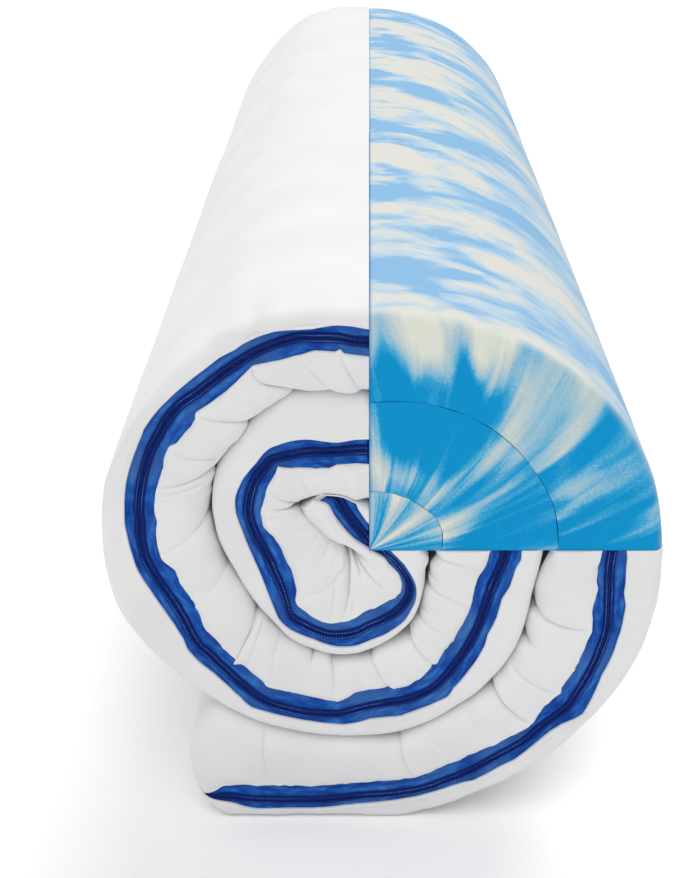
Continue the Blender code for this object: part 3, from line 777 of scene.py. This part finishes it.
    def run(self, distance, inward):
        """Where a point of the gathered border lies along the zip; its sections lean and bow."""
        marks = [self.start, *self.creases[:, 0], self.stop]
        lean = np.interp(distance, marks, [0, *self.creases[:, 1], 0])
        bow = np.interp(distance, marks, [0, *self.creases[:, 2], 0])
        inward = np.clip(inward, 0, 1)
        return distance + lean * inward + bow * 4 * inward * (1 - inward)


def crease(row, along, held):
    """How deep one crease draws the border in, and how far its sharp side laps over it."""
    place, lean, bow, first, last, depth, soft = row
    offset = (along - (place + lean * held + bow * 4 * held * (1 - held))) * np.sign(soft)
    away = np.abs(offset)
    root = step((held - CREASE_ROOT) / (1 - CREASE_ROOT))
    sharp = np.exp(-away / (SHARP_SIDE * (1 + root)))
    gentle = np.exp(-away / (abs(soft) * (1 + 0.5 * root)))
    gentle = SHARP_LINE * sharp + (1 - SHARP_LINE) * gentle
    begins = step((held - first + CREASE_BEGINS[0]) / CREASE_BEGINS[1])
    ends = 1 - step((held - last + CREASE_ENDS[0]) / CREASE_ENDS[1])
    at_zip, at_face, at_root = CREASE_RISE
    rise = at_zip + at_face * held + at_root * root
    strength = CREASE_FULL * depth * begins * ends * rise
    lap = (1 - np.exp(-away / SHARP_SIDE)) * np.exp(-away / OVERLAP_FADE) * (offset < 0)
    lap = lap * OVERLAP * np.clip(strength / OVERLAP_FULL, 0, 1) * np.sign(soft)
    return strength * np.where(offset > 0, gentle, sharp), lap


def cover_columns(turn, stations):
    """The cover's section at each station, from its outer face round to it again.

    Returns arrays with a row for each station: distance along the zip, across, depth from the
    front, and the share inward of the zip (below 0 outside it, and 2 on the back).
    """
    thickness = turn.thickness(stations)
    inner_edge, outer_edge = turn.edges(stations)
    above = step(turn.uprightness(stations) / 0.8)
    rim = RIM_TIGHT + (EDGE - RIM_TIGHT) * 2 * above
    rim = np.minimum(RIM_SHARE * (thickness - outer_edge), rim)
    rim_deep = RIM_TIGHT + (EDGE - RIM_TIGHT) * above
    root = (ROOT_SHARE - turn.near_cut(stations) * (ROOT_SHARE - CUT_ROOT_SHARE)) * inner_edge
    seat, nose = turn.seat(stations), NOSE * turn.slimming(stations)
    columns = []

    def point(place, behind, share):
        columns.append([value * np.ones_like(stations) for value in (place, behind, share)])

    def inside(place, behind):
        point(place, behind, (inner_edge - place) / inner_edge)

    # The border outside the zip, the zip's seat, and the gathered border inside it.
    for turned in np.linspace(0, pi / 2, 10):
        point(thickness - rim * (1 - np.cos(turned)), rim_deep * (1 - np.sin(turned)), -1)
    flat = outer_edge + NOSE - thickness + rim
    for share in np.linspace(0, 1, 8)[1:]:
        point(thickness - rim + flat * share, 0, -1 + 0.9 * share)
    for turned in np.linspace(0, pi / 2, 5)[1:]:
        point(outer_edge + NOSE * (1 - np.sin(turned)), nose * (1 - np.cos(turned)), -0.05)
    for place in (outer_edge + 0.3 * NOSE, (inner_edge + outer_edge) / 2, inner_edge - 0.3 * NOSE):
        point(place, seat, 0)
    for turned in np.linspace(pi / 2, 0, 5)[:-1]:
        inside(inner_edge - NOSE * (1 - np.sin(turned)), nose * (1 - np.cos(turned)))
    for share in np.linspace(0, 1, 18):
        inside(inner_edge - NOSE + (root - inner_edge + NOSE) * share, 0)
    for turned in np.linspace(pi / 2, 0, 22)[1:]:
        inside(root * (1 - np.cos(turned)), EDGE * (1 - np.sin(turned)))

    # The inner face, the back and the outer face.
    for behind in INNER_FACE_ROWS:
        point(0, behind * MM, 1)
    edge = BACK_SHARE * thickness
    for turned in np.linspace(0, pi / 2, 8):
        point(edge * (1 - np.cos(turned)), ROLL_LENGTH - EDGE * (1 - np.sin(turned)), 2)
    for share in np.linspace(0, 1, 14)[1:-1]:
        point(edge + (thickness - 2 * edge) * share, ROLL_LENGTH, 2)
    for turned in np.linspace(pi / 2, 0, 8):
        place = thickness - edge * (1 - np.cos(turned))
        point(place, ROLL_LENGTH - EDGE * (1 - np.sin(turned)), 2)
    for share in np.linspace(1, 0, 40)[1:-1]:
        point(thickness, EDGE + (ROLL_LENGTH - 2 * EDGE) * share**OUTER_FACE_POWER, -1)
    across, depth, inward = np.array(columns).transpose(1, 2, 0)
    leaning = np.clip(inward, 0, 1) * (depth < ROLL_LENGTH / 2)
    leaning = leaning * np.exp(-np.maximum(depth - EDGE, 0) / LEAN_FADE)
    return turn.run(stations[:, None], leaning), across, depth, inward


def gathered_swell(turn, along, depth, held):
    """How far the gathered border stands out, and how far along its creases are lapped."""
    puff = PUFF * bulge(PUFF_SPAN[0] + PUFF_SPAN[1] * held)
    puff = puff + DROOP * bulge(depth / EDGE) * step(turn.uprightness(along) / DROOP_FULL)
    creased = np.array([crease(row, along, held) for row in (*turn.creases, *turn.crossing)])
    drawn, lap = creased[:, 0].max(axis=0), np.clip(creased[:, 1].sum(axis=0), -OVERLAP, OVERLAP)
    wrinkles = uneven(WRINKLES, along, held) + uneven(FINE_WRINKLES, along, held)
    lumps = uneven(LUMPS, along, held + LUMPS_FROM)
    border = (puff - drawn + wrinkles + lumps) * step(held / PLAIN_LIP)
    border = border + np.exp(-held / EDGE_SHARE) * uneven(EDGE_WRINKLES, along, held)
    hollow = step((depth - HOLLOW_FROM) / HOLLOW_RISE) * np.exp(-depth / BORDER_REACH)
    border = border - HOLLOW * turn.near_cut(along) * hollow
    fade = np.exp(-np.maximum(depth - EDGE, 0) / SWELL_FADE)
    return border * fade, lap * fade


def outer_swell(turn, along, depth, inward):
    """How far the plain border outside the zip and the outer face stand out."""
    rim = uneven(RIM_RIPPLES, along, depth)
    rim = rim + uneven(RIM_PUCKERS, along, depth) * np.exp(-depth / RIM_PUCKERS[2])
    waves = uneven(SIDE_WAVES, along, depth) * step(depth / WAVES_FROM)
    dented = 0
    for place, half, deep, reach in turn.dents:
        dented = dented + deep * hump(along, place, half) * np.exp(-depth / reach)
    return (rim + waves - dented) * step((-inward - RIM_FROM) / RIM_RISE)


def back_swell(turn, along, across):
    """How far the back border stands out, with its seam and the front's creases, softened."""
    share = across / turn.thickness(along)
    drawn = 0
    for place, _, _, _, _, deep, _ in turn.creases:
        offset = np.abs(along - place - BACK_SHIFT - BACK_LEAN * (1 - share))
        drawn = drawn + BACK_CREASE * deep * np.exp(-offset / BACK_CREASE_SIDE) * (1 - share)
    swell = (BACK_PUFF + uneven(BACK_WRINKLES, along, share) - drawn) * np.sin(pi * share)
    return swell - SEAM_DEEP * hump((share - 0.5) * turn.thickness(along), 0, SEAM_WIDE)


def cover_swell(turn, along, across, depth, inward):
    """How far the filled cover stands out from its plain section, and how far it is lapped."""
    gathered = (inward > 0) & (inward <= 1) & (depth < BORDER_REACH)
    border, lap = gathered_swell(turn, along, depth, np.clip(inward, 0, 1))
    outside = outer_swell(turn, along, depth, inward)
    back = back_swell(turn, along, across)
    swell = np.select([gathered, inward < 0, inward > 1], [border, outside, back], 0)

    # Where the cover meets the cutaway, it swells little or not at all.
    from_cut = turn.stop - along
    if not turn.loose_end:
        from_cut = np.minimum(from_cut, along - turn.start)
    border_kept = BORDER_KEPT + (1 - BORDER_KEPT) * step(from_cut / BORDER_HELD)
    kept = np.where(gathered, border_kept, step(from_cut / SIDE_HELD))
    swell = np.where(swell > 0, swell * kept, swell)
    return swell, np.where(gathered, lap, 0) * step(from_cut / LAP_HELD)


def outward(points):
    """The surface's outward directions over a grid of points that closes round each row."""
    wrapped = np.concatenate([points[:, -1:], points, points[:, :1]], axis=1)
    round_it = wrapped[:, 2:] - wrapped[:, :-2]
    along_it = np.gradient(points, axis=0)
    normals = np.cross(along_it, round_it)
    lengths = np.linalg.norm(normals, axis=-1, keepdims=True)
    return normals / np.maximum(lengths, 1e-12)


def closed_body(name, points, finish, laid, sharp=60):
    """One closed body over rows of points, with its two end rows filled.

    `laid` names the positions that the finish is laid out by.
    """
    rows, count = points.shape[:2]
    here = np.arange(rows - 1)[:, None] * count + np.arange(count)
    after = np.arange(rows - 1)[:, None] * count + (np.arange(count) + 1) % count
    quads = np.stack([here, after, after + count, here + count], axis=-1).reshape(-1, 4)
    faces = [tuple(range(count)), tuple(range((rows - 1) * count, rows * count))]
    mesh = bpy.data.meshes.new(name)
    mesh.from_pydata(points.reshape(-1, 3).tolist(), [], quads.tolist() + faces)
    for label, places in laid.items():
        layout = mesh.attributes.new(label, "FLOAT_VECTOR", "POINT")
        layout.data.foreach_set("vector", places.astype(np.float32).ravel())
    body = bmesh.new()
    body.from_mesh(mesh)
    bmesh.ops.recalc_face_normals(body, faces=body.faces)
    body.to_mesh(mesh)
    body.free()
    return finished(name, mesh, finish, sharp)


def finished(name, mesh, finish, sharp=60):
    """A smooth-shaded piece of the topper with one finish."""
    mesh.shade_smooth()
    mesh.set_sharp_from_angle(angle=radians(sharp))
    mesh.materials.append(finish)
    piece = bpy.data.objects.new(name, mesh)
    bpy.context.scene.collection.objects.link(piece)
    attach(piece, "root")
    return piece


def cover(label, turn):
    """One turn of the filled cover."""
    stations = turn.stations()
    along, across, depth, inward = cover_columns(turn, stations)
    points = turn.place(along, across, depth)
    points[..., 2] = np.maximum(points[..., 2], 0)
    swell, lap = cover_swell(turn, along, across, depth, inward)
    swollen = outward(points) * swell[..., None]
    points = turn.place(along + lap, across, depth) + swollen
    points[..., 2] = np.maximum(points[..., 2], FLOOR_GAP)
    turn.meet_cutaway(points, stations)
    cloth = np.stack([along, across + depth, np.zeros_like(along)], axis=-1)
    piece = closed_body(f"{label}_knitted_cover", points, knit, {"cloth": cloth})
    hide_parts(f"{label}_cover")
    return piece


def tape_section(turn, stations, side):
    """One tape of the zip at each station: out from the zip's middle, and high above its seat.

    It is folded over its half of the coil in a ridge, and then runs flat under the cover's edge.
    """
    inner_edge, outer_edge = turn.edges(stations)
    middle, slim = turn.zip_middle(stations), turn.slimming(stations)
    edge, room = middle - inner_edge, middle
    if side > 0:
        edge, room = outer_edge - middle, turn.thickness(stations) - middle
    edge = np.maximum(edge, (RIDGE[1] + TAPE_LEAST) * slim) + TAPE_TUCK
    edge = np.minimum(edge, room - TAPE_INSIDE)
    flat = (RIDGE[1] + TAPE_FROM) * slim
    foot = TAPE_FOOT * np.ones_like(stations)
    ridge_middle, ridge_half = (RIDGE[0] + RIDGE[1]) / 2, (RIDGE[1] - RIDGE[0]) / 2
    out, high = [CHANNEL * slim], [TAPE_FOOT * slim]
    for turned in np.linspace(pi, 0, 9):
        out.append((ridge_middle + ridge_half * np.cos(turned)) * slim)
        high.append((RIDGE_FOOT + (RIDGE_HIGH - RIDGE_FOOT) * np.sin(turned)) * slim)
    for share in np.linspace(0, 1, 8):
        ripple = uneven(TAPE_RIPPLES, stations, share + side * TAPE_RIPPLES[2])
        ripple = ripple + uneven(TAPE_PUCKERS, stations, share + side * TAPE_PUCKERS[2])
        out.append(flat + (edge - flat) * share)
        high.append((TAPE_HIGH - TAPE_DIP * (1 - share) + ripple * step(share * 3)) * slim)
    return [np.array(rows).T for rows in ([*out, edge, flat], [*high, foot, foot])]


def zip_tape(label, turn, side, node, first=None, last=None):
    """One tape of the zip along a stretch of its turn."""
    stations = turn.zip_stations(first, last)
    out, high = tape_section(turn, stations, side)
    middle = turn.zip_middle(stations)[:, None]
    behind = turn.seat(stations)[:, None] - high
    points = turn.place(stations[:, None], middle + side * out, behind)
    cloth = np.stack([np.broadcast_to(stations[:, None], out.shape), out, high], axis=-1)
    piece = closed_body(label, points, woven, {"cloth": cloth})
    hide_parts(node)
    return piece


def beads(turn, places, out, high, size):
    """Points and faces of small rounded beads along the zip: where, how far out, how high."""
    rings, sides = 5, 6
    up = np.linspace(-pi / 2, pi / 2, rings)
    around = np.linspace(0, 2 * pi, sides, endpoint=False)
    length = np.repeat(np.sin(up), sides)
    radius = np.repeat(np.cos(up), sides) ** BEAD_FULL
    wide, tall = radius * np.tile(np.cos(around), rings), radius * np.tile(np.sin(around), rings)
    middle, behind = turn.zip_middle(places) + out, turn.seat(places) - high
    centre = turn.place(places, middle, behind)
    nearby = 0.5 * MM
    forward = turn.place(places + nearby, middle, behind) - centre
    aside = turn.place(places, middle + nearby, behind) - centre
    points = centre[:, None] + np.array((0, -1, 0)) * (tall * size[2])[:, None]
    for way, spread in ((forward, length * size[0] / 2), (aside, wide * size[1] / 2)):
        way = way / np.linalg.norm(way, axis=-1, keepdims=True)
        points = points + way[:, None] * spread[:, None]
    points = points[~((centre[:, 0] > CUT_X - MM) & (centre[:, 2] > CUT_Z - MM))]
    faces = []
    for first in range(0, len(points) * rings * sides, rings * sides):
        for low in range(first, first + (rings - 1) * sides, sides):
            for side in range(sides):
                after = (side + 1) % sides
                faces.append((low + side, low + after, low + sides + after, low + sides + side))
    return points.reshape(-1, 3), faces


def bead_rows(name, rows, finish):
    """A piece of one or more rows of beads."""
    mesh = bpy.data.meshes.new(name)
    points, faces = [], []
    for row_points, row_faces in rows:
        faces += [tuple(len(points) + index for index in face) for face in row_faces]
        points += row_points.tolist()
    mesh.from_pydata(points, [], faces)
    body = bmesh.new()
    body.from_mesh(mesh)
    bmesh.ops.remove_doubles(body, verts=body.verts, dist=0.001 * MM)
    bmesh.ops.recalc_face_normals(body, faces=body.faces)
    body.to_mesh(mesh)
    body.free()
    piece = finished(name, mesh, finish)
    return piece


def stitches(label, turn, first=None, last=None):
    """The row of stitches along each ridge of the zip."""
    start, stop = turn.zip_stretch(first, last)
    places = np.arange(start + STITCH_PITCH, stop - STITCH_PITCH, STITCH_PITCH)
    slim = turn.slimming(places)
    rows = []
    for side in (-1, 1):
        out = side * (RIDGE[0] + RIDGE[1]) / 2 * slim
        rows.append(beads(turn, places, out, (RIDGE_HIGH - STITCH_SUNK) * slim, STITCH))
    return bead_rows(label, rows, thread)


def coil(label, turn, node, first=None, last=None):
    """The coil's teeth, which show in the gap between the two tapes."""
    start, stop = turn.zip_stretch(first, last)
    places = np.arange(start + TOOTH_PITCH, stop - TOOTH_PITCH, TOOTH_PITCH)
    out = TOOTH_ASIDE * np.where(np.arange(len(places)) % 2, 1, -1)
    teeth = beads(turn, places, out, TOOTH_HIGH * turn.slimming(places), TOOTH)
    piece = bead_rows(label, [teeth], nylon)
    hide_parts(node)
    return piece


def quadrant():
    """The quarter that the cutaway takes off: a guide box, removed when it has been used."""
    mesh = bpy.data.meshes.new("quadrant")
    block = bmesh.new()
    bmesh.ops.create_cube(block, size=1)
    bmesh.ops.scale(block, vec=(QUARTER, 2 * ROLL_LENGTH, QUARTER), verts=block.verts)
    middle = (CUT_X + QUARTER / 2, 0, CUT_Z + QUARTER / 2)
    bmesh.ops.translate(block, vec=middle, verts=block.verts)
    block.to_mesh(mesh)
    block.free()
    box = bpy.data.objects.new("quadrant", mesh)
    bpy.context.scene.collection.objects.link(box)
    return box


def cut(piece, box):
    """Take the quarter off a piece."""
    trim = piece.modifiers.new("cutaway", "BOOLEAN")
    trim.operation = "DIFFERENCE"
    trim.object = box
    seen = piece.evaluated_get(bpy.context.evaluated_depsgraph_get())
    trimmed = bpy.data.meshes.new_from_object(seen)
    piece.modifiers.clear()
    piece.data = trimmed


def creaminess(angle, radius, behind):
    """How much creamier the foam is than its streaks alone: by its upper rim and its core."""
    ring_at, ring_wide, ring_share = CREAM_RING
    core_at, core_soft, core_share = CREAM_CORE
    pale = step((radius - CREAM_RIM[0]) / CREAM_RIM[1]) - CREAM_LESS
    pale = pale + ring_share * hump(radius, ring_at, ring_wide)
    cream = hump(angle, CREAM_ANGLE, CREAM_ROUND) * pale
    cream = cream + core_share * step((core_at - radius) / core_soft)
    return CREAM * cream * hump(behind, 0, CREAM_BACK)


def foam_layer(label, node, outer_column, inner_column, rounding):
    """One layer of the bare foam, its front and back edges softened."""
    table = np.array(FOAM_FACES, float)
    degrees = np.linspace(0, 90, 91)
    outer = np.interp(degrees, table[:, 0], table[:, outer_column]) * MM - CLEAR
    inner, joint = np.zeros_like(outer), 0
    if inner_column:
        inner, joint = np.interp(degrees, table[:, 0], table[:, inner_column]) * MM, FOAM_JOINT
    foot, face = inner + joint, outer - rounding - inner - joint
    length = ROLL_LENGTH - 2 * FOAM_SET_BACK
    columns = []

    def point(out, behind):
        columns.append([value * np.ones_like(outer) for value in (out, behind)])

    # The section at each angle: out over the front, back along the outer face, and in again.
    for turned in np.linspace(pi / 2, 0, 5):
        point(inner + joint * (1 - np.sin(turned)), joint * (1 - np.cos(turned)))
    for share in np.linspace(0, 1, 26)[1:]:
        point(foot + face * share, 0)
    for turned in np.linspace(0, pi / 2, 9)[1:]:
        point(outer - rounding * (1 - np.sin(turned)), rounding * (1 - np.cos(turned)))
    for share in np.linspace(0, 1, 60)[1:-1]:
        point(outer, rounding + (length - 2 * rounding) * share)
    for turned in np.linspace(pi / 2, 0, 9):
        point(outer - rounding * (1 - np.sin(turned)), length - rounding * (1 - np.cos(turned)))
    for share in np.linspace(1, 0, 26)[::3]:
        point(foot + face * share, length)
    point(foot, length)
    point(inner, length - joint)
    radius, behind = np.array(columns).transpose(1, 2, 0)
    angle = np.broadcast_to(np.radians(degrees)[:, None], radius.shape)
    on_face = step(1 - (outer[:, None] - radius) / MM)
    radius = radius + uneven(FOAM_UNEVEN, angle, behind) * on_face
    x = CUT_X + CLEAR + radius * np.cos(angle)
    z = CUT_Z + CLEAR + radius * np.sin(angle)
    points = np.stack([x, FRONT + FOAM_SET_BACK + behind, z], axis=-1)
    bare = step(np.minimum(behind, length - behind) / rounding) * (outer_column == 1)
    cream = creaminess(angle, radius, behind)
    laid = {
        "ray": (angle - SWIRL * radius, radius, np.full_like(radius, outer_column)),
        "skin": (angle * ROLL_RADIUS, behind, bare),
        "cream": (cream, cream, cream),
    }
    laid = {name: np.stack(parts, axis=-1) for name, parts in laid.items()}
    piece = closed_body(label, points, foam, laid, sharp=50)
    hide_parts(node)
    return piece


# --- the camera, the light and the floor ----------------------------------------------------


def look_out():
    """The camera at the photograph's place: in line with the cutaway, above the zip border."""
    eye = bpy.data.cameras.new("camera")
    eye.sensor_width = SENSOR
    eye.lens = LENS
    eye.shift_x, eye.shift_y = SHIFT
    eye.clip_start = 0.05
    camera = bpy.data.objects.new("camera", eye)
    camera.location = (CUT_X, FRONT - CAMERA_BACK, CAMERA_HIGH)
    camera.rotation_euler = (radians(90) - CAMERA_PITCH, 0, 0)
    bpy.context.scene.collection.objects.link(camera)
    bpy.context.scene.camera = camera


def soft_light(name, towards, spread, strength):
    """A wide soft light from far off, so that it falls evenly over the whole floor."""
    glow = bpy.data.lights.new(name, "SUN")
    glow.angle = radians(spread)
    glow.energy = strength
    lamp = bpy.data.objects.new(name, glow)
    lamp.rotation_euler = Vector(towards).to_track_quat("Z", "Y").to_euler()
    bpy.context.scene.collection.objects.link(lamp)


def studio():
    """The plain floor, two soft lights from far off, and the white room round them."""
    bpy.ops.mesh.primitive_plane_add(size=FLOOR_SIZE)
    floor = bpy.context.object
    floor.name = "studio_floor"
    floor.data.materials.append(studio_floor())
    soft_light("key_light", KEY, KEY_SPREAD, KEY_LIGHT)
    soft_light("back_light", BACK, BACK_SPREAD, BACK_LIGHT)
    world = bpy.data.worlds.new("white room")
    world.use_nodes = True
    room = world.node_tree.nodes["Background"]
    room.inputs["Color"].default_value = (1, 1, 1, 1)
    room.inputs["Strength"].default_value = ROOM_LIGHT
    bpy.context.scene.world = world
    bpy.context.scene.view_settings.view_transform = "Standard"


# --- the topper -----------------------------------------------------------------------------

look_out()
studio()

knit, woven, thread = knitted_jersey(), woven_tape(), sewing_thread()
nylon, foam = moulded_nylon(), marbled_foam()

outer_turn = Turn(OUTER_TURN, OUTER_STRETCH, OUTER_LIPS, OUTER_CREASES, OUTER_DENTS, loose_end=True)
middle_turn = Turn(MIDDLE_TURN, MIDDLE_STRETCH, MIDDLE_LIPS, MIDDLE_CREASES, MIDDLE_DENTS)
inner_turn = Turn(INNER_TURN, INNER_STRETCH, INNER_LIPS, INNER_CREASES, INNER_DENTS, [PIVOT_CREASE])

for label, turn in (("outer_turn", outer_turn), ("middle_turn", middle_turn)):
    cover(label, turn)
    zip_tape(f"{label}_rim_tape", turn, 1, f"{label}_zip_rim_tape")
    zip_tape(f"{label}_core_tape", turn, -1, f"{label}_zip_core_tape")
    coil(f"{label}_coil", turn, f"{label}_zip_coil")
    stitches(f"{label}_stitches", turn)

parting, turned_in = np.interp((PARTING, TURNED_IN), range(len(inner_turn.marks)), inner_turn.marks)
box = quadrant()
cut(cover("inner_turn", inner_turn), box)
core = zip_tape("inner_turn_core_tape", inner_turn, -1, "inner_turn_zip_core_tape", last=turned_in)
cut(core, box)
cut(zip_tape("inner_turn_rim_tape", inner_turn, 1, "inner_turn_zip_rim_tape", last=parting), box)
end = zip_tape("inner_end_rim_tape", inner_turn, 1, "inner_end_zip_rim_tape", parting, turned_in)
cut(end, box)
coil("inner_turn_coil", inner_turn, "inner_turn_zip_coil", last=parting)
coil("inner_end_coil", inner_turn, "inner_end_zip_coil", parting, turned_in)
stitches("inner_turn_stitches", inner_turn, last=turned_in)
bpy.data.objects.remove(box)

foam_layer("outer_foam_layer", "outer_foam", 1, 2, FOAM_ROUND)
foam_layer("middle_foam_layer", "middle_foam", 2, 3, FOAM_JOINT)
foam_layer("inner_foam_core", "inner_foam", 3, 0, FOAM_JOINT)
